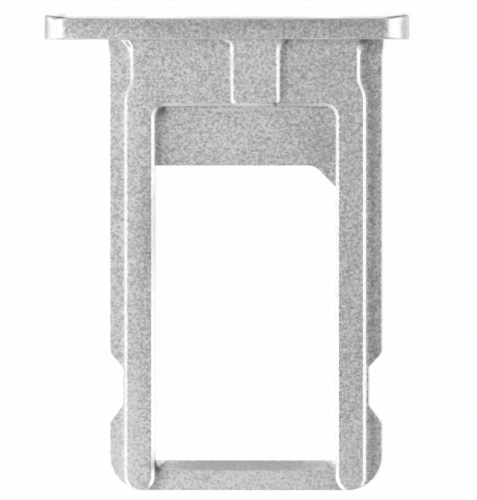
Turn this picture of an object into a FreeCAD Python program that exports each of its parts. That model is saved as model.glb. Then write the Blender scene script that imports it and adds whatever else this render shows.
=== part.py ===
"""A tray for a nano-size sim card: one machined metal piece.

Frame: +Z is up and is the side with the raised rails, +Y points to the head, +X to the right.
The origin is under the middle of the tray, level with the lowest line of the head.
Lengths are in millimetres and angles in degrees.
"""
import FreeCAD
import Part
import Sketcher

import math
import os

# Driving dimensions: name, value, meaning.
SIZES = [
    ("card_width", 8.80, "card that the tray carries"),
    ("card_length", 12.30, "the same card, along the tray"),
    ("card_corner_cut", 1.65, "keyed corner of that card, each leg"),
    ("card_gap", 0.05, "room between the card and each wall of the pocket"),
    ("pocket_start", 4.725, "inner face of the head to the pocket"),
    ("pocket_depth", 0.70, "pocket, from the card side to the ledges"),
    ("pocket_corner_radius", 0.50, "corners of the pocket"),
    ("side_wall", 0.98, "pocket wall to flange edge"),
    ("far_wall", 0.875, "pocket wall to the far end"),
    ("card_side_break", 0.05, "bevel round the plate and the pocket on the card side"),
    ("side_ledge", 0.825, "ledge under each long side of the card"),
    ("end_ledge", 0.305, "ledge under each short side of the card"),
    ("ledge_thickness", 0.30, "shelf and end bar, above the ledges"),
    ("window_corner_cut", 0.87, "keyed corner of the window, each leg"),
    ("window_corner_round", 0.63, "curve where the keyed corner starts"),
    ("flange_height", 0.90, "flange top, above the card side"),
    ("flange_width", 0.585, "flange edge to rail wall"),
    ("far_corner_radius", 1.38, "outer corners of the far end"),
    ("root_widening", 0.08, "flange beside the head, extra on each side"),
    ("root_widening_length", 0.68, "stretch over which the flange widens"),
    ("rail_rise", 0.42, "rails and wings, above the shelf"),
    ("bevel", 0.13, "bevel on every raised edge, across and down"),
    ("neck_inset", 0.24, "rail wall to neck wall, beside the head"),
    ("neck_length", 1.70, "inner face of the head to the start of the swell"),
    ("swell_length", 0.50, "stretch over which the neck widens to the rails"),
    ("swell_radius", 0.90, "curves of that swell"),
    ("root_radius", 0.80, "foot of the rail walls where they meet the head"),
    ("root_top_radius", 0.45, "the same corner at the top of the bevel"),
    ("nose_angle", 57.0, "flanks of a rail's far end, from its length"),
    ("nose_reach", 0.20, "where those flanks would meet, past the far end"),
    ("nose_radius", 0.70, "curve from a rail's wall into its flank"),
    ("recess_start", 2.67, "inner face of the head to the shelf"),
    ("recess_corner_radius", 0.44, "corners of the shelf beside the rails"),
    ("block_rise", 0.28, "key block, above the wings"),
    ("block_width", 1.975, "key block, across its foot"),
    ("block_offset", 0.415, "centre of the key block, right of the centre line of the body"),
    ("block_corner_radius", 0.28, "far corners of the key block at its foot"),
    ("block_crest_radius", 0.22, "the same corners at the top"),
    ("block_root_radius", 0.60, "foot of the key block where it meets the head"),
    ("ramp_inset", 0.42, "ends of the ramp on the end bar, from the rails"),
    ("ramp_width", 0.39, "ramp, across"),
    ("ramp_land", 0.04, "upright edge left under the ramp"),
    ("ramp_tip", 0.02, "radius at the lower line of the ramp"),
    ("notch_depth", 0.52, "detent notch, into the flange"),
    ("notch_start", 12.52, "inner face of the head to the notch"),
    ("notch_lead", 0.56, "slope at the notch's near end"),
    ("notch_floor", 1.53, "straight floor of the notch"),
    ("notch_run", 0.69, "slope at the notch's far end"),
    ("notch_shoulder_radius", 0.35, "curves at the notch's mouth"),
    ("notch_floor_radius", 0.14, "curves at the notch's floor"),
    ("head_long_end", 2.65, "head past the flange, at the pin hole"),
    ("head_short_end", 1.11, "head past the other flange"),
    ("head_height", 2.30, "head, across its rounded ends"),
    ("head_below", 0.45, "head, below the card side"),
    ("head_thickness", 1.04, "head, at the middle of its height"),
    ("head_face_radius", 4.20, "curve of the outer face, over the height of the head"),
    ("head_outer_round", 0.19, "soft edge round the outer face"),
    ("head_inner_break", 0.05, "small bevel round the inner face"),
    ("pinhole_diameter", 1.00, "hole for the release pin"),
    ("pinhole_inset", 1.32, "hole centre, from the long end of the head"),
    ("root_overlap", 0.40, "how far the body's features run into the head"),
    ("root_sink", 0.06, "how far their root curves end inside the head"),
    ("cutter_overrun", 1.00, "how far a cut runs past the metal"),
]

# Two places closer than this are the same place.
TOUCH = 0.001

# Lengths and places that several features share, as formulas of the sheet.
POCKET_WIDTH = "(sizes.card_width + 2 * sizes.card_gap)"
POCKET_LENGTH = "(sizes.card_length + 2 * sizes.card_gap)"
BODY_WIDTH = "(%s + 2 * sizes.side_wall)" % POCKET_WIDTH
BODY_LENGTH = "(sizes.pocket_start + %s + sizes.far_wall)" % POCKET_LENGTH
BODY_OFFSET = "((sizes.head_long_end - sizes.head_short_end) / 2)"
HEAD_LENGTH = "(%s + sizes.head_long_end + sizes.head_short_end)" % BODY_WIDTH
WINDOW_START = "(sizes.pocket_start + sizes.end_ledge)"
WINDOW_END = "(sizes.pocket_start + %s - sizes.end_ledge)" % POCKET_LENGTH
RAIL_OUTER = "(%s / 2 - sizes.flange_width)" % BODY_WIDTH
RAIL_INNER = "(%s / 2 - sizes.side_ledge)" % POCKET_WIDTH
RAIL_MIDDLE = "((%s + %s) / 2)" % (RAIL_OUTER, RAIL_INNER)
SHELF_HEIGHT = "(sizes.pocket_depth + sizes.ledge_thickness)"
RAIL_HEIGHT = "(%s + sizes.rail_rise)" % SHELF_HEIGHT
BLOCK_HEIGHT = "(%s + sizes.block_rise)" % RAIL_HEIGHT
INNER_FACE = "((%s - sizes.head_thickness) / 2)" % BODY_LENGTH
OUTER_FACE = "((%s + sizes.head_thickness) / 2)" % BODY_LENGTH
ABOVE_BODY = "sizes.head_below + %s + sizes.cutter_overrun" % BLOCK_HEIGHT
THROUGH_BODY = "%s + 2 * sizes.cutter_overrun" % BLOCK_HEIGHT


def make_sheet(doc):
    """Put the driving dimensions in a sheet, one alias for each."""
    sheet = doc.addObject("Spreadsheet::Sheet", "sizes")
    for row, (alias, value, meaning) in enumerate(SIZES, start=1):
        sheet.set("A%d" % row, alias)
        sheet.set("B%d" % row, str(value))
        sheet.setAlias("B%d" % row, alias)
        sheet.set("C%d" % row, meaning)
    doc.recompute()


def new_sketch(body, name, plane="XY_Plane", x="0", y="0", z="0"):
    """A sketch on one of the body's own origin planes, moved by three formulas."""
    sketch = body.newObject("Sketcher::SketchObject", name)
    for feature in body.Origin.OriginFeatures:
        if feature.Role == plane:
            sketch.AttachmentSupport = [(feature, "")]
    sketch.MapMode = "FlatFace"
    sketch.setExpression(".AttachmentOffset.Base.x", x)
    sketch.setExpression(".AttachmentOffset.Base.y", y)
    sketch.setExpression(".AttachmentOffset.Base.z", z)
    return sketch


def bind(sketch, constraint, formula):
    """Add a constraint and tie its value to a formula of the sheet."""
    index = sketch.addConstraint(constraint)
    sketch.setExpression("Constraints[%d]" % index, formula)


def draw_outline(sketch, corners):
    """Close an outline through corners given as (x, y, radius) formulas.

    The corners run anticlockwise. A radius of None leaves a corner sharp.
    """
    value = sketch.evalExpression
    points = [FreeCAD.Vector(float(value(x)), float(value(y)), 0) for x, y, radius in corners]
    count = len(corners)
    first_ends = []
    last_ends = []
    arcs = {}
    for i, (x, y, radius) in enumerate(corners):
        arrive = (points[i] - points[i - 1]).normalize()
        leave = (points[(i + 1) % count] - points[i]).normalize()
        if radius is None:
            first_ends.append(points[i])
            last_ends.append(points[i])
            continue
        size = float(value(radius))
        turn = math.atan2(arrive.cross(leave).z, arrive.dot(leave))
        reach = size * math.tan(abs(turn) / 2)
        start = points[i] - arrive * reach
        end = points[i] + leave * reach
        side = math.copysign(1, turn)
        centre = start + FreeCAD.Vector(-arrive.y, arrive.x, 0) * size * side
        near, far = (start, end) if turn > 0 else (end, start)
        angles = [math.atan2(p.y - centre.y, p.x - centre.x) for p in (near, far)]
        circle = Part.Circle(centre, FreeCAD.Vector(0, 0, 1), size)
        arc = sketch.addGeometry(Part.ArcOfCircle(circle, angles[0], angles[1]), False)
        arcs[i] = (arc, 1, 2) if turn > 0 else (arc, 2, 1)
        first_ends.append(start)
        last_ends.append(end)
    lines = []
    for i in range(count):
        segment = Part.LineSegment(last_ends[i], first_ends[(i + 1) % count])
        lines.append(sketch.addGeometry(segment, False))
    rules = []
    marks = []
    for i in range(count):
        mark = sketch.addGeometry(Part.Point(points[i]), True)
        marks.append(mark)
        incoming = lines[i - 1]
        outgoing = lines[i]
        if i in arcs:
            arc, start_end, finish_end = arcs[i]
            rules.append(Sketcher.Constraint("Tangent", incoming, 2, arc, start_end))
            rules.append(Sketcher.Constraint("Tangent", arc, finish_end, outgoing, 1))
            rules.append(Sketcher.Constraint("PointOnObject", mark, 1, incoming))
            rules.append(Sketcher.Constraint("PointOnObject", mark, 1, outgoing))
        else:
            rules.append(Sketcher.Constraint("Coincident", incoming, 2, mark, 1))
            rules.append(Sketcher.Constraint("Coincident", outgoing, 1, mark, 1))
    sketch.addConstraint(rules)
    for i, (x, y, radius) in enumerate(corners):
        bind(sketch, Sketcher.Constraint("DistanceX", -1, 1, marks[i], 1, points[i].x), x)
        bind(sketch, Sketcher.Constraint("DistanceY", -1, 1, marks[i], 1, points[i].y), y)
        if i in arcs:
            arc = arcs[i][0]
            bind(sketch, Sketcher.Constraint("Radius", arc, float(value(radius))), radius)


def draw_slot(sketch, reach, height, radius):
    """A slot with round ends: arc centres at minus and plus reach, both at height."""
    value = sketch.evalExpression
    half, level, size = (float(value(formula)) for formula in (reach, height, radius))
    axis = FreeCAD.Vector(0, 0, 1)
    quarter = math.pi / 2
    centres = [FreeCAD.Vector(half, level, 0), FreeCAD.Vector(-half, level, 0)]
    right_circle = Part.Circle(centres[0], axis, size)
    left_circle = Part.Circle(centres[1], axis, size)
    right = sketch.addGeometry(Part.ArcOfCircle(right_circle, -quarter, quarter), False)
    left = sketch.addGeometry(Part.ArcOfCircle(left_circle, quarter, 3 * quarter), False)
    up = FreeCAD.Vector(0, size, 0)
    top = sketch.addGeometry(Part.LineSegment(centres[0] + up, centres[1] + up), False)
    bottom = sketch.addGeometry(Part.LineSegment(centres[1] - up, centres[0] - up), False)
    sketch.addConstraint([
        Sketcher.Constraint("Tangent", top, 1, right, 2),
        Sketcher.Constraint("Tangent", top, 2, left, 1),
        Sketcher.Constraint("Tangent", bottom, 1, left, 2),
        Sketcher.Constraint("Tangent", bottom, 2, right, 1),
        Sketcher.Constraint("Equal", left, right),
    ])
    bind(sketch, Sketcher.Constraint("Radius", right, size), radius)
    bind(sketch, Sketcher.Constraint("DistanceX", -1, 1, right, 3, half), reach)
    bind(sketch, Sketcher.Constraint("DistanceY", -1, 1, right, 3, level), height)
    bind(sketch, Sketcher.Constraint("DistanceX", -1, 1, left, 3, -half), "-(%s)" % reach)
    bind(sketch, Sketcher.Constraint("DistanceY", -1, 1, left, 3, level), height)


def draw_face_cutter(sketch, face, middle, radius, overrun):
    """The region in front of a round face: face is its foremost place, at height middle."""
    value = sketch.evalExpression
    front, level, size, extra = (float(value(f)) for f in (face, middle, radius, overrun))
    half = level + extra
    turn = math.asin(half / size)
    centre = FreeCAD.Vector(front - size, level, 0)
    circle = Part.Circle(centre, FreeCAD.Vector(0, 0, 1), size)
    arc = sketch.addGeometry(Part.ArcOfCircle(circle, -turn, turn), False)
    edge = front - size + size * math.cos(turn)
    places = [(edge, level + half), (front + extra, level + half),
              (front + extra, level - half), (edge, level - half)]
    corners = [FreeCAD.Vector(x, y, 0) for x, y in places]
    top, side, bottom = [
        sketch.addGeometry(Part.LineSegment(corners[i], corners[i + 1]), False) for i in range(3)
    ]
    sketch.addConstraint([
        Sketcher.Constraint("Coincident", arc, 2, top, 1),
        Sketcher.Constraint("Coincident", top, 2, side, 1),
        Sketcher.Constraint("Coincident", side, 2, bottom, 1),
        Sketcher.Constraint("Coincident", bottom, 2, arc, 1),
        Sketcher.Constraint("Horizontal", top),
        Sketcher.Constraint("Horizontal", bottom),
        Sketcher.Constraint("Vertical", side),
    ])
    bind(sketch, Sketcher.Constraint("Radius", arc, size), radius)
    bind(sketch, Sketcher.Constraint("DistanceX", -1, 1, arc, 3, centre.x),
         "%s - %s" % (face, radius))
    bind(sketch, Sketcher.Constraint("DistanceY", -1, 1, arc, 3, level), middle)
    bind(sketch, Sketcher.Constraint("DistanceY", -1, 1, arc, 2, level + half),
         "2 * (%s) + %s" % (middle, overrun))
    bind(sketch, Sketcher.Constraint("DistanceY", -1, 1, arc, 1, level - half),
         "-(%s)" % overrun)
    bind(sketch, Sketcher.Constraint("DistanceX", -1, 1, side, 1, front + extra),
         "%s + %s" % (face, overrun))


def add_feature(body, kind, name, sketch, length=None, reverse=False):
    """A pad, pocket or loft of a sketch, with its length tied to a formula."""
    feature = body.newObject("PartDesign::" + kind, name)
    feature.Profile = sketch
    if length is not None:
        feature.setExpression("Length", length)
        feature.Reversed = reverse
    return feature


def edges_between(feature, low, high):
    """Names of the edges that lie wholly between two places along Y."""
    names = []
    for number, edge in enumerate(feature.Shape.Edges, start=1):
        box = edge.BoundBox
        if box.YMin > low and box.YMax < high:
            names.append("Edge%d" % number)
    return names


def body_sketch(body, name, height):
    """A level sketch of the body: x from its centre line, y from the head's inner face."""
    return new_sketch(body, name, "XY_Plane", BODY_OFFSET, INNER_FACE, height)


def above_card_side(height):
    return "sizes.head_below + " + height


def mirrored(half):
    """Corners of the right half, from top to bottom, and their mirror images, anticlockwise."""
    left = [("-(%s)" % x, y, radius) for x, y, radius in half]
    return left + half[::-1]


def add_head(body):
    """The head: a round-ended bar with a curved outer face and the pin hole."""
    half_height = "sizes.head_height / 2"
    outline = new_sketch(body, "head_outline", "XZ_Plane", z="-" + INNER_FACE)
    draw_slot(outline, "%s / 2 - %s" % (HEAD_LENGTH, half_height), half_height, half_height)
    add_feature(body, "Pad", "head_blank", outline, "sizes.head_thickness", reverse=True)

    section = new_sketch(body, "head_face_section", "YZ_Plane")
    draw_face_cutter(section, OUTER_FACE, half_height, "sizes.head_face_radius",
                     "sizes.cutter_overrun")
    face = add_feature(body, "Pocket", "head_face", section,
                       HEAD_LENGTH + " + 2 * sizes.cutter_overrun")
    face.SideType = "Symmetric"
    body.Document.recompute()

    inner = float(outline.evalExpression(INNER_FACE))
    middle = inner + float(outline.evalExpression("sizes.head_thickness / 2"))
    rounds = body.newObject("PartDesign::Fillet", "head_outer_edge")
    rounds.Base = (face, edges_between(face, middle, math.inf))
    rounds.setExpression("Radius", "sizes.head_outer_round")
    body.Document.recompute()

    breaks = body.newObject("PartDesign::Chamfer", "head_inner_edge")
    breaks.Base = (rounds, edges_between(rounds, -math.inf, middle))
    breaks.setExpression("Size", "sizes.head_inner_break")


def cut_pinhole(body):
    """The hole in the long end of the head, for the pin that releases the tray."""
    circle = new_sketch(body, "pinhole_circle", "XZ_Plane",
                        x="sizes.pinhole_inset - %s / 2" % HEAD_LENGTH,
                        y="sizes.head_height / 2",
                        z="sizes.cutter_overrun - " + INNER_FACE)
    radius = float(circle.evalExpression("sizes.pinhole_diameter / 2"))
    edge = circle.addGeometry(Part.Circle(FreeCAD.Vector(), FreeCAD.Vector(0, 0, 1), radius))
    circle.addConstraint(Sketcher.Constraint("Coincident", edge, 3, -1, 1))
    bind(circle, Sketcher.Constraint("Diameter", edge, 2 * radius), "sizes.pinhole_diameter")
    add_feature(body, "Pocket", "eject_pinhole", circle,
                "sizes.head_thickness + 2 * sizes.cutter_overrun")


def add_plate(body):
    """The thin plate whose edges are the guide flanges, a little wider at the head."""
    half = BODY_WIDTH + " / 2"
    wide = half + " + sizes.root_widening"
    outline = body_sketch(body, "plate_outline", "sizes.head_below")
    draw_outline(outline, mirrored([
        (wide, "sizes.root_overlap", None),
        (wide, "-sizes.root_widening", None),
        (half, "-sizes.root_widening_length", None),
        (half, "-" + BODY_LENGTH, None),
    ]))
    add_feature(body, "Pad", "plate", outline, "sizes.flange_height")


def add_shelf(body):
    """The shelf and end bar: one level strip that runs under the rails to their middles."""
    outline = body_sketch(body, "shelf_outline", "sizes.head_below")
    draw_outline(outline, mirrored([
        (RAIL_MIDDLE, "sizes.root_overlap", None),
        (RAIL_MIDDLE, "-" + BODY_LENGTH, None),
    ]))
    add_feature(body, "Pad", "shelf", outline, SHELF_HEIGHT)


def rail_corners(inset, root_radius):
    """Corners of the two rails and the wings that join them, drawn in by an inset."""
    neck = "%s - sizes.neck_inset - %s" % (RAIL_OUTER, inset)
    outer = "%s - %s" % (RAIL_OUTER, inset)
    inner = "%s + %s" % (RAIL_INNER, inset)
    half_rail = "((%s - %s) / 2 - %s)" % (RAIL_OUTER, RAIL_INNER, inset)
    angle = "(sizes.nose_angle * 1 deg)"
    tip = "(%s / sin(%s) - %s - sizes.nose_reach)" % (inset, angle, BODY_LENGTH)
    shoulder = "%s + %s / tan(%s)" % (tip, half_rail, angle)
    nose = "sizes.nose_radius - " + inset
    margin = RAIL_OUTER + " + sizes.root_radius"
    recess = "%s - sizes.recess_start" % inset
    return mirrored([
        (margin, "sizes.root_overlap", None),
        (margin, "sizes.root_sink", None),
        (neck, "sizes.root_sink", root_radius),
        (neck, "-sizes.neck_length", "sizes.swell_radius"),
        (outer, "-sizes.neck_length - sizes.swell_length", "sizes.swell_radius"),
        (outer, shoulder, nose),
        (RAIL_MIDDLE, tip, None),
        (inner, shoulder, nose),
        (inner, recess, "sizes.recess_corner_radius + " + inset),
    ])


def block_corners(inset, root_radius, corner_radius):
    """Corners of the key block, drawn in by an inset."""
    half = "sizes.block_width / 2 - " + inset
    margin = "sizes.block_width / 2 + 2 * sizes.block_root_radius"
    right = [
        (margin, "sizes.root_overlap", None),
        (margin, "sizes.root_sink", None),
        (half, "sizes.root_sink", root_radius),
        (half, "%s - sizes.recess_start" % inset, corner_radius),
    ]
    return [("sizes.block_offset + " + x, y, radius) for x, y, radius in mirrored(right)]


def add_bevelled_form(body, name, low, high, height):
    """A form with upright walls and a bevel round its top.

    The outlines at the foot and the top of the bevel, low and high, have matching corners.
    """
    foot = body_sketch(body, name + "_foot", "sizes.head_below")
    draw_outline(foot, low)
    add_feature(body, "Pad", name + "_walls", foot, height + " - sizes.bevel")
    rim = body_sketch(body, name + "_rim", above_card_side(height + " - sizes.bevel"))
    draw_outline(rim, low)
    crest = body_sketch(body, name + "_crest", above_card_side(height))
    draw_outline(crest, high)
    slope = add_feature(body, "AdditiveLoft", name + "_bevel", rim)
    slope.Sections = [crest]
    slope.Ruled = True


def add_rails(body):
    """The rails with the wings between them."""
    add_bevelled_form(body, "rails", rail_corners("0", "sizes.root_radius"),
                      rail_corners("sizes.bevel", "sizes.root_top_radius"), RAIL_HEIGHT)


def add_key_block(body):
    """The key block, on top of the wings."""
    low = block_corners("0", "sizes.block_root_radius", "sizes.block_corner_radius")
    high = block_corners("sizes.bevel", "sizes.root_top_radius", "sizes.block_crest_radius")
    add_bevelled_form(body, "key_block", low, high, BLOCK_HEIGHT)


def cut_far_end(body):
    """Trim plate, rails and end bar to the rounded far end."""
    half = BODY_WIDTH + " / 2"
    outside = half + " + sizes.cutter_overrun"
    end = "-" + BODY_LENGTH
    start = end + " + sizes.far_corner_radius + sizes.bevel"
    beyond = end + " - sizes.cutter_overrun"
    outline = body_sketch(body, "far_end_outline", ABOVE_BODY)
    draw_outline(outline, [
        (half, start, None),
        (half, end, "sizes.far_corner_radius"),
        ("-" + half, end, "sizes.far_corner_radius"),
        ("-" + half, start, None),
        ("-(%s)" % outside, start, None),
        ("-(%s)" % outside, beyond, None),
        (outside, beyond, None),
        (outside, start, None),
    ])
    add_feature(body, "Pocket", "far_end", outline, THROUGH_BODY)


def cut_notches(body):
    """The two detent notches that a spring in the device clicks into."""
    edge = BODY_WIDTH + " / 2"
    floor = edge + " - sizes.notch_depth"
    outside = edge + " + sizes.cutter_overrun"
    start = "-sizes.notch_start"
    floor_start = start + " - sizes.notch_lead"
    floor_end = floor_start + " - sizes.notch_floor"
    end = floor_end + " - sizes.notch_run"
    above = start + " + sizes.notch_shoulder_radius"
    below = end + " - sizes.notch_shoulder_radius"
    outline = body_sketch(body, "notch_outline", ABOVE_BODY)
    draw_outline(outline, [
        (outside, above, None),
        (edge, above, None),
        (edge, start, "sizes.notch_shoulder_radius"),
        (floor, floor_start, "sizes.notch_floor_radius"),
        (floor, floor_end, "sizes.notch_floor_radius"),
        (edge, end, "sizes.notch_shoulder_radius"),
        (edge, below, None),
        (outside, below, None),
    ])
    notch = add_feature(body, "Pocket", "detent_notch", outline, THROUGH_BODY)
    pair = body.newObject("PartDesign::Mirrored", "detent_notches")
    pair.Originals = [notch]
    pair.MirrorPlane = (outline, ["V_Axis"])
    body.Tip = pair


def cut_window(body):
    """The window under the card's contacts, keyed at one corner as the card is."""
    start = "-" + WINDOW_START
    end = "-" + WINDOW_END
    outline = body_sketch(body, "window_outline", ABOVE_BODY)
    draw_outline(outline, [
        ("-" + RAIL_INNER, start, None),
        ("-" + RAIL_INNER, end, None),
        (RAIL_INNER, end, None),
        (RAIL_INNER, start + " - sizes.window_corner_cut", None),
        (RAIL_INNER + " - sizes.window_corner_cut", start, "sizes.window_corner_round"),
    ])
    add_feature(body, "Pocket", "contact_window", outline, THROUGH_BODY)


def cut_ramp(body):
    """The sloped edge of the end bar, with cone-shaped ends."""
    reach = RAIL_INNER + " - sizes.ramp_inset"
    line = "%s - %s" % (INNER_FACE, WINDOW_END)
    levels = [
        ("ramp_upper_line", SHELF_HEIGHT, "sizes.ramp_width"),
        ("ramp_lower_line", "sizes.pocket_depth + sizes.ramp_land", "sizes.ramp_tip"),
    ]
    sketches = []
    for name, height, radius in levels:
        place = above_card_side(height)
        sketch = new_sketch(body, name, "XY_Plane", BODY_OFFSET, line, place)
        draw_slot(sketch, reach, "0", radius)
        sketches.append(sketch)
    ramp = add_feature(body, "SubtractiveLoft", "end_bar_ramp", sketches[0])
    ramp.Sections = sketches[1:]
    ramp.Ruled = True


def cut_card_pocket(body):
    """The pocket on the card side, with the card's keyed corner."""
    half = "(%s / 2)" % POCKET_WIDTH
    start = "-sizes.pocket_start"
    end = "%s - %s" % (start, POCKET_LENGTH)
    cut = "(sizes.card_corner_cut + sizes.card_gap * (2 - sqrt(2)))"
    radius = "sizes.pocket_corner_radius"
    outline = body_sketch(body, "pocket_outline", "sizes.head_below")
    draw_outline(outline, [
        ("-" + half, start, radius),
        ("-" + half, end, radius),
        (half, end, radius),
        (half, "%s - %s" % (start, cut), radius),
        ("%s - %s" % (half, cut), start, radius),
    ])
    add_feature(body, "Pocket", "card_pocket", outline, "sizes.pocket_depth", reverse=True)


def break_card_side(body):
    """A small bevel on the card side, round the plate and round the mouth of the pocket."""
    tip = body.Tip
    level = float(tip.evalExpression("sizes.head_below"))
    inner = float(tip.evalExpression(INNER_FACE))
    names = []
    for number, edge in enumerate(tip.Shape.Edges, start=1):
        box = edge.BoundBox
        flat = abs(box.ZMin - level) < TOUCH and abs(box.ZMax - level) < TOUCH
        if flat and box.YMin < inner - TOUCH:
            names.append("Edge%d" % number)
    bevel = body.newObject("PartDesign::Chamfer", "card_side_edge")
    bevel.Base = (tip, names)
    bevel.setExpression("Size", "sizes.card_side_break")


def make_tray(doc):
    """The tray as one body, with its features in the order they are made."""
    body = doc.addObject("PartDesign::Body", "tray")
    body.Label = "tray"
    for step in (add_head, cut_pinhole, add_plate, add_shelf, add_rails, add_key_block,
                 cut_far_end, cut_notches, cut_window, cut_ramp, cut_card_pocket,
                 break_card_side):
        step(body)
        doc.recompute()
    return body


def check_document(doc, bodies):
    """Stop where an object failed to compute or a body has no valid solid."""
    for item in doc.Objects:
        if "Invalid" in item.State or "Error" in item.State:
            raise RuntimeError("%s did not compute: %s" % (item.Label, item.State))
    for body in bodies:
        shape = body.Shape
        if shape.isNull() or not shape.isValid() or len(shape.Solids) != 1:
            raise RuntimeError("%s is not one valid solid" % body.Label)


def main():
    doc = FreeCAD.newDocument("sim_card_tray")
    make_sheet(doc)
    bodies = [make_tray(doc)]
    check_document(doc, bodies)
    os.makedirs("parts", exist_ok=True)
    for body in bodies:
        body.Shape.exportStep("parts/%s.step" % body.Label)
        box = body.Shape.BoundBox
        print("%s: %.2f x %.2f x %.2f mm, %.2f mm3" % (
            body.Label, box.XLength, box.YLength, box.ZLength, body.Shape.Volume))


main()
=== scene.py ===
"""The look of the sim card tray: bead-blasted, clear-anodised aluminium on a pale studio floor.

The frame is the CAD model's own: metres, +Z up out of the side with the rails, +Y to the head.
"""

import math

import bpy
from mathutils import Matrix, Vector

MM = 0.001
RISE = (0.0, 1.0)
FALL = (1.0, 0.0)
WHITE = (1, 1, 1, 1)

# What the camera sees: the middle of the view at the body's card side, and the view's height.
VIEW_CENTRE = Vector((0.414, 0.07, 0.45)) * MM
VIEW_HEIGHT = 20.0 * MM
VIEW_LEAN = math.atan(0.07)
LENS_MM = 1400.0
FILM_MM = 36.0

# Lamps: name, middle and size in millimetres, brightness, where 1 is white.
LAMPS = [
    ("key", (-50, 0, 34.5), (110, 6), 5.8),
    ("left_low", (-60, -10, 11), (70, 26), 1.25),
    ("left_top", (-40, 0, 50), (110, 26), 2.0),
    ("right_low", (60, -5, 12), (120, 28), 1.24),
    ("right_high", (60, 20, 60), (80, 70), 1.38),
    ("far_box", (-8, -28, 6), (40, 12), 1.0),
    ("near_box", (0, 60, 15), (70, 30), 0.97),
]

# The surroundings: brightness at the horizon and overhead, and how far up, from 0 at the horizon
# to 1 straight overhead, the second is reached.
HORIZON = 0.0
OVERHEAD = 0.04
SKY_TOP = 0.8

# The floor: half its side in metres, its tone under the lamps, its own glow, and the share of that
# glow in what the camera sees. The other share is the lit floor, with the tray's shadow.
FLOOR_REACH = 0.6
FLOOR_TONE = 0.85
FLOOR_GLOW = 1.0
GLOW_SHARE = 0.975

# Faces by the upward part of their normal, without its sign: level from the first range on, and
# upright below the second.
LEVEL_FACES = (0.93, 0.985)
UPRIGHT_FACES = (0.20, 0.45)

# The grain of the blasted faces: cells to the metre, how far pits and grit change the tone, and
# the range of the noise that is used.
PITS_SCALE = 14000.0
GRIT_SCALE = 7000.0
GRIT_DETAIL = 2.0
GRIT_RANGE = (0.25, 0.75)
PIT_TONE = 0.215
GRIT_TONE = 0.22

# A faint drift of tone over the whole tray, and the roughness of both noises.
CLOUD_SCALE = 1800.0
CLOUD_DETAIL = 3.0
CLOUD_RANGE = (0.3, 0.7)
CLOUD_TONES = (0.97, 1.03)
NOISE_ROUGHNESS = 0.5

# The level faces' tone, and its painted broad light and shade: axis, range in millimetres and the
# tones at the range's ends. The grain grows calmer where the metal, with its painted light, is bright.
LEVEL_TONE = 0.775
PAINTED_BROAD_SHADING = [
    # Painted shade: darker towards the head's outer edge.
    ("Y", (8.45, 9.2), (1.0, 0.78)),
    # Painted light: lighter towards the far end.
    ("Y", (-8.5, -4.5), (1.12, 1.0)),
    # Painted light: lighter on the left flange.
    ("X", (-3.7, -3.2), (1.12, 1.0)),
]
BRIGHT_METAL = (0.80, 0.95)
BRIGHT_GRAIN = (1.0, 0.65)

# Where the painted light on bevels and walls begins and ends, in millimetres: beside the block and
# at the rails' crest, both from the body's middle line, and along Y at the head and at the end. Then
# the tone of each without and with its painted light, and how far the grain shows on bevels.
BODY_MIDDLE = 0.77
BLOCK_SIDE = (2.0, 3.0)
RAIL_CREST = (3.85, 4.0)
HEAD_INNER_FACE = (8.3, 8.4)
END_WALL = (-9.3, -9.2)
BEVEL_TONES = (0.80, 1.0)
BEVEL_GRAIN = (0.7, 1.3)
WALL_TONES = (0.82, 1.0)

# Roughness from the low end of the noise's range to the high one: level faces, and the rest.
LEVEL_ROUGHNESS = (0.74, 0.62)
SMOOTH_ROUGHNESS = (0.34, 0.40)

# Relief: the pits' depth and the softened edges' radius in millimetres, and the relief's strength.
PIT_DEPTH = 0.01
EDGE_RADIUS = 0.05
EDGE_SAMPLES = 4
SMOOTH_RELIEF = 0.02
LEVEL_RELIEF = 0.3
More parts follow.
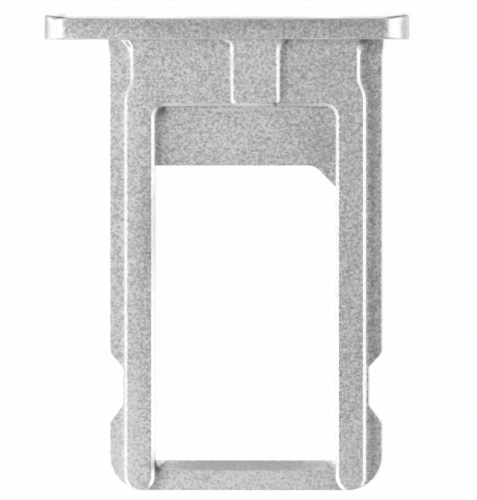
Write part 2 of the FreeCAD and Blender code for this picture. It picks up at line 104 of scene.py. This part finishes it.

# Spots of painted light and shade, darker or lighter: name, middle and reach in millimetres, turn in
# degrees, tone at the middle, and how far in from the rim that tone is reached, from 0 at the rim
# to 1 at the middle. Their height in metres is so large that Z has no part in them.
PAINTED_SPOTS = [
    # Painted highlights and painted dark reflections on the head's rounded ends, and a painted highlight
    # along the head's edge.
    ("left_end_rim", (-7.28, 9.0), (0.26, 1.5), 0, 0.65, 0.4),
    ("left_end_shine", (-6.90, 9.0), (0.45, 3.0), 0, 1.12, 0.5),
    ("left_end_shade", (-6.58, 9.0), (0.35, 3.0), 0, 0.75, 0.6),
    ("left_end_line", (-6.79, 9.38), (0.85, 0.048), -7.2, 0.38, 0.4),
    ("right_end_rim", (7.20, 9.0), (0.3, 1.5), 0, 0.74, 0.3),
    ("right_end_line", (6.82, 9.38), (0.8, 0.05), 6.5, 0.38, 0.4),
    ("head_edge", (0.0, 9.285), (14.0, 0.08), 0, 1.3, 0.5),
    # Painted shade in the corners at the roots of the rails and block, painted light on the left wing and
    # block, and the block's painted shadow beside it.
    ("left_root", (-3.9, 8.28), (0.45, 0.45), 0, 0.85, 0.5),
    ("left_root_facet", (-3.915, 8.30), (0.28, 0.11), -52, 0.48, 0.3),
    ("right_root", (5.48, 8.38), (0.35, 0.18), 0, 0.75, 0.4),
    ("left_wing", (-1.6, 7.2), (6.0, 5.0), 0, 1.07, 1.0),
    ("block", (1.15, 7.2), (1.75, 2.2), 0, 1.06, 0.2),
    ("block_left_root", (0.13, 8.27), (0.16, 0.26), 0, 0.5, 0.5),
    ("block_right_root", (2.42, 8.36), (0.4, 0.24), 0, 0.68, 0.5),
    ("beside_block", (2.33, 7.1), (0.25, 2.0), 0, 0.9, 0.3),
    # Painted highlight along the shelf's upper edge and wall, painted shade on its bevel and right side,
    # painted shadow on its left side and corner, painted light in its middle.
    ("above_shelf", (0.77, 5.985), (4.5, 0.05), 0, 1.12, 0.5),
    ("shelf_bevel", (2.55, 5.89), (2.0, 0.10), 0, 0.84, 0.15),
    ("shelf_edge", (1.0, 5.70), (3.4, 0.13), 0, 1.3, 0.3),
    ("shelf_corner", (-2.56, 5.61), (0.5, 0.5), 0, 0.4, 1.0),
    ("shelf_left", (-2.6, 1.0), (1.5, 5.0), 0, 0.66, 1.0),
    ("shelf_middle", (0.5, 4.5), (3.5, 1.8), 0, 1.08, 0.5),
    ("shelf_right", (3.8, 4.3), (0.8, 2.4), 0, 0.89, 0.8),
    # Painted shade on the ramp and in its corners, and painted light on the end bar.
    ("ramp", (0.45, -8.53), (4.8, 0.25), 0, 0.83, 0.1),
    ("ramp_left_cone", (-2.75, -8.5), (0.45, 0.8), 0, 0.55, 0.6),
    ("ramp_right_cone", (4.16, -8.49), (0.25, 0.3), 0, 0.6, 0.4),
    ("end_bar", (0.5, -9.12), (5.0, 0.7), 0, 1.07, 0.25),
]
SPOT_HEIGHT = 1000.0

# Where nodes are laid out in the shader editor: nodes to a column, and the grid's step.
COLUMN_NODES = 8
NODE_STEP = (220, 280)


def node(tree, kind, **settings):
    """A shader node with its plain settings, laid out in the order of making."""
    column, row = divmod(len(tree.nodes), COLUMN_NODES)
    made = tree.nodes.new(kind)
    made.location = (column * NODE_STEP[0], -row * NODE_STEP[1])
    for name, value in settings.items():
        setattr(made, name, value)
    return made


def feed(tree, socket, value):
    """Set a socket to a plain number, or link another socket to it."""
    if isinstance(value, (int, float)):
        socket.default_value = value
    else:
        tree.links.new(value, socket)


def maths(tree, operation, *values):
    """A sum, a product or the like; each value is a plain number or a socket."""
    made = node(tree, "ShaderNodeMath", operation=operation)
    for socket, value in zip(made.inputs, values):
        feed(tree, socket, value)
    return made.outputs[0]


def mix(tree, share, first, second):
    """Blend two numbers by a share; each is a plain number or a socket."""
    made = node(tree, "ShaderNodeMix")
    feed(tree, made.inputs[0], share)
    feed(tree, made.inputs[2], first)
    feed(tree, made.inputs[3], second)
    return made.outputs[0]


def span(tree, value, source, target):
    """Map a value from one range to another, and hold it at the ends."""
    made = node(tree, "ShaderNodeMapRange")
    made.inputs["From Min"].default_value = source[0]
    made.inputs["From Max"].default_value = source[1]
    made.inputs["To Min"].default_value = target[0]
    made.inputs["To Max"].default_value = target[1]
    tree.links.new(value, made.inputs["Value"])
    return made.outputs["Result"]


def span_mm(tree, value, source, target):
    """The same for a place or a distance, with its range in millimetres."""
    return span(tree, value, [size * MM for size in source], target)


def split(tree, vector):
    """The X, Y and Z of a vector."""
    made = node(tree, "ShaderNodeSeparateXYZ")
    tree.links.new(vector, made.inputs["Vector"])
    return made.outputs


def noise(tree, place, scale, detail):
    """Noise in the tray's own coordinates, with scale in grains to the metre."""
    made = node(tree, "ShaderNodeTexNoise")
    made.inputs["Scale"].default_value = scale
    made.inputs["Detail"].default_value = detail
    made.inputs["Roughness"].default_value = NOISE_ROUGHNESS
    tree.links.new(place, made.inputs["Vector"])
    return made.outputs["Fac"]


def pits(tree, place):
    """Tiny round pits: a random tone for each, and their depth."""
    made = node(tree, "ShaderNodeTexVoronoi")
    made.inputs["Scale"].default_value = PITS_SCALE
    tree.links.new(place, made.inputs["Vector"])
    tone = node(tree, "ShaderNodeSeparateColor")
    tree.links.new(made.outputs["Color"], tone.inputs["Color"])
    return tone.outputs[0], made.outputs["Distance"]


def soft_spot(tree, place, name, middle, reach, turn):
    """A soft spot: 1 at its middle, 0 at its reach, both in millimetres along its own X and Y."""
    shift = node(tree, "ShaderNodeMapping", vector_type="TEXTURE", label=name)
    shift.inputs["Location"].default_value = [size * MM for size in middle] + [0.0]
    shift.inputs["Rotation"].default_value = (0.0, 0.0, math.radians(turn))
    shift.inputs["Scale"].default_value = [size * MM for size in reach] + [SPOT_HEIGHT]
    tree.links.new(place, shift.inputs["Vector"])
    made = node(tree, "ShaderNodeTexGradient", gradient_type="QUADRATIC_SPHERE")
    tree.links.new(shift.outputs["Vector"], made.inputs["Vector"])
    return made.outputs["Fac"]


def with_painted_spots(tree, place, tone):
    """The tone with every spot of painted light and shade in it."""
    for name, middle, reach, turn, factor, top in PAINTED_SPOTS:
        spot = soft_spot(tree, place, name, middle, reach, turn)
        tone = maths(tree, "MULTIPLY", tone, span(tree, spot, (0.0, top), (1.0, factor)))
    return tone


def level_tone(tree, along, grain):
    """The level faces: painted broad light and shade, with the grain of the blasting, calmer where
    bright.
    """
    base = LEVEL_TONE
    for axis, reach, tones in PAINTED_BROAD_SHADING:
        base = maths(tree, "MULTIPLY", base, span_mm(tree, along[axis], reach, tones))
    calm = span(tree, base, BRIGHT_METAL, BRIGHT_GRAIN)
    speckle = maths(tree, "ADD", maths(tree, "MULTIPLY", grain, calm), 1.0)
    return maths(tree, "MULTIPLY", base, speckle)


def smooth_tone(tree, along, grain, upright):
    """The rest, with painted light: bevels brightest inside the rails, walls brightest at the head and in
    the window, and darker elsewhere.
    """
    off_middle = maths(tree, "SUBTRACT", along["X"], BODY_MIDDLE * MM)
    off_middle = maths(tree, "ABSOLUTE", off_middle)
    past_block = span_mm(tree, off_middle, BLOCK_SIDE, RISE)
    inside_rail = span_mm(tree, off_middle, RAIL_CREST, FALL)

    # Painted highlight: bevels between the block's side and the rails' crest are brighter.
    painted_bevel_light = maths(tree, "MULTIPLY", past_block, inside_rail)
    bevel_with_painted_light = span(tree, painted_bevel_light, RISE, BEVEL_TONES)
    faint_grain = span(tree, grain, (-1.0, 1.0), BEVEL_GRAIN)
    bevel = maths(tree, "MULTIPLY", bevel_with_painted_light, faint_grain)

    # Painted light and shade: walls at the head and in the window brighter, the others darker.
    at_head = span_mm(tree, along["Y"], HEAD_INNER_FACE, RISE)
    before_end = span_mm(tree, along["Y"], END_WALL, RISE)
    in_window = maths(tree, "MULTIPLY", inside_rail, before_end)
    painted_wall_light = maths(tree, "MAXIMUM", at_head, in_window)
    wall = span(tree, painted_wall_light, RISE, WALL_TONES)
    return mix(tree, upright, bevel, wall)


def surface_normal(tree, level, depth):
    """Softened edges everywhere, and the pits' relief on the level faces."""
    soft = node(tree, "ShaderNodeBevel", samples=EDGE_SAMPLES)
    soft.inputs["Radius"].default_value = EDGE_RADIUS * MM
    relief = node(tree, "ShaderNodeBump")
    relief.inputs["Distance"].default_value = PIT_DEPTH * MM
    strength = span(tree, level, RISE, (SMOOTH_RELIEF, LEVEL_RELIEF))
    tree.links.new(strength, relief.inputs["Strength"])
    tree.links.new(depth, relief.inputs["Height"])
    tree.links.new(soft.outputs["Normal"], relief.inputs["Normal"])
    return relief.outputs["Normal"]


def new_material(name):
    """An empty node material, and its tree."""
    material = bpy.data.materials.new(name)
    material.use_nodes = True
    material.node_tree.nodes.clear()
    return material, material.node_tree


def blasted_metal():
    """Silver anodised aluminium: level faces with the grain of bead blasting, the rest smooth; painted
    light and shade in the tone.
    """
    material, tree = new_material("anodised_aluminium")
    output = node(tree, "ShaderNodeOutputMaterial")
    surface = node(tree, "ShaderNodeBsdfPrincipled")
    surface.inputs["Metallic"].default_value = 1.0
    tree.links.new(surface.outputs["BSDF"], output.inputs["Surface"])

    place = node(tree, "ShaderNodeTexCoord").outputs["Object"]
    along = split(tree, place)
    facing = split(tree, node(tree, "ShaderNodeNewGeometry").outputs["Normal"])
    flatness = maths(tree, "ABSOLUTE", facing["Z"])
    level = span(tree, flatness, LEVEL_FACES, RISE)
    upright = span(tree, flatness, UPRIGHT_FACES, FALL)

    pit, depth = pits(tree, place)
    grit = noise(tree, place, GRIT_SCALE, GRIT_DETAIL)
    cloud = noise(tree, place, CLOUD_SCALE, CLOUD_DETAIL)
    speck = span(tree, pit, RISE, (-PIT_TONE, PIT_TONE))
    mottle = span(tree, grit, GRIT_RANGE, (-GRIT_TONE, GRIT_TONE))
    grain = maths(tree, "ADD", speck, mottle)

    smooth_part = smooth_tone(tree, along, grain, upright)
    level_part = level_tone(tree, along, grain)
    drift = span(tree, cloud, CLOUD_RANGE, CLOUD_TONES)
    tone = maths(tree, "MULTIPLY", mix(tree, level, smooth_part, level_part), drift)
    # The spots add painted light and shade to the tone.
    tree.links.new(with_painted_spots(tree, place, tone), surface.inputs["Base Color"])

    dull = span(tree, grit, GRIT_RANGE, LEVEL_ROUGHNESS)
    satin = span(tree, cloud, CLOUD_RANGE, SMOOTH_ROUGHNESS)
    tree.links.new(mix(tree, level, satin, dull), surface.inputs["Roughness"])
    tree.links.new(surface_normal(tree, level, depth), surface.inputs["Normal"])
    return material


def floor_material():
    """A pale floor that reads white to the camera and in reflections, and keeps the shadow."""
    material, tree = new_material("studio_floor")
    matt = node(tree, "ShaderNodeBsdfDiffuse")
    matt.inputs["Color"].default_value = (FLOOR_TONE, FLOOR_TONE, FLOOR_TONE, 1)
    glow = node(tree, "ShaderNodeEmission")
    glow.inputs["Color"].default_value = WHITE
    glow.inputs["Strength"].default_value = FLOOR_GLOW
    rays = node(tree, "ShaderNodeLightPath").outputs
    share = mix(tree, rays["Is Camera Ray"], rays["Is Glossy Ray"], GLOW_SHARE)
    blend = node(tree, "ShaderNodeMixShader")
    tree.links.new(share, blend.inputs["Fac"])
    tree.links.new(matt.outputs["BSDF"], blend.inputs[1])
    tree.links.new(glow.outputs["Emission"], blend.inputs[2])
    output = node(tree, "ShaderNodeOutputMaterial")
    tree.links.new(blend.outputs["Shader"], output.inputs["Surface"])
    return material


def add_floor():
    """A square of floor under the tray."""
    side = (-FLOOR_REACH, FLOOR_REACH)
    corners = [(side[0], side[0], 0), (side[1], side[0], 0), (side[1], side[1], 0), (side[0], side[1], 0)]
    mesh = bpy.data.meshes.new("floor")
    mesh.from_pydata(corners, [], [(0, 1, 2, 3)])
    mesh.materials.append(floor_material())
    floor = bpy.data.objects.new("floor", mesh)
    bpy.context.scene.collection.objects.link(floor)


def add_world():
    """Surroundings that are white to the camera and nearly dark to everything else."""
    world = bpy.data.worlds.new("studio")
    bpy.context.scene.world = world
    world.use_nodes = True
    tree = world.node_tree
    background = tree.nodes["Background"]
    background.inputs["Color"].default_value = WHITE
    place = node(tree, "ShaderNodeTexCoord").outputs["Generated"]
    sky = span(tree, split(tree, place)["Z"], (0.0, SKY_TOP), (HORIZON, OVERHEAD))
    rays = node(tree, "ShaderNodeLightPath").outputs
    strength = mix(tree, rays["Is Camera Ray"], sky, 1.0)
    tree.links.new(strength, background.inputs["Strength"])


def add_lamps():
    """Soft boxes, each facing the tray, with the power that gives the box its brightness."""
    for name, place, size, brightness in LAMPS:
        data = bpy.data.lights.new(name, "AREA")
        data.shape = "RECTANGLE"
        data.size = size[0] * MM
        data.size_y = size[1] * MM
        data.energy = brightness * math.pi * data.size * data.size_y
        lamp = bpy.data.objects.new(name, data)
        lamp.location = Vector(place) * MM
        lamp.rotation_euler = (-lamp.location).to_track_quat("-Z", "Y").to_euler()
        lamp.visible_camera = False
        bpy.context.scene.collection.objects.link(lamp)


def add_camera():
    """A long lens that looks down on the tray, leaning a little to the right."""
    data = bpy.data.cameras.new("camera")
    data.sensor_fit = "VERTICAL"
    data.sensor_height = FILM_MM
    data.lens = LENS_MM
    distance = VIEW_HEIGHT * LENS_MM / FILM_MM
    lean = Vector((math.sin(VIEW_LEAN), 0, math.cos(VIEW_LEAN)))
    camera = bpy.data.objects.new("camera", data)
    camera.location = VIEW_CENTRE + lean * distance
    camera.rotation_euler = (0, VIEW_LEAN, 0)
    bpy.context.scene.collection.objects.link(camera)
    bpy.context.scene.camera = camera


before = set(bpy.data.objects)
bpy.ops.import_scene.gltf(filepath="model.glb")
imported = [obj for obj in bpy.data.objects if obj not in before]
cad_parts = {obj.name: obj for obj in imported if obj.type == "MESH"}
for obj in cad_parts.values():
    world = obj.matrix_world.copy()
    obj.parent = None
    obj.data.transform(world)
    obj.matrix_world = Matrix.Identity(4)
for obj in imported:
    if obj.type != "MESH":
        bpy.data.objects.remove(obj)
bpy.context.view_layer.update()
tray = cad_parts["tray"]
tray.data.materials.clear()
tray.data.materials.append(blasted_metal())
add_floor()
add_world()
add_lamps()
add_camera()
bpy.context.scene.view_settings.view_transform = "Standard"
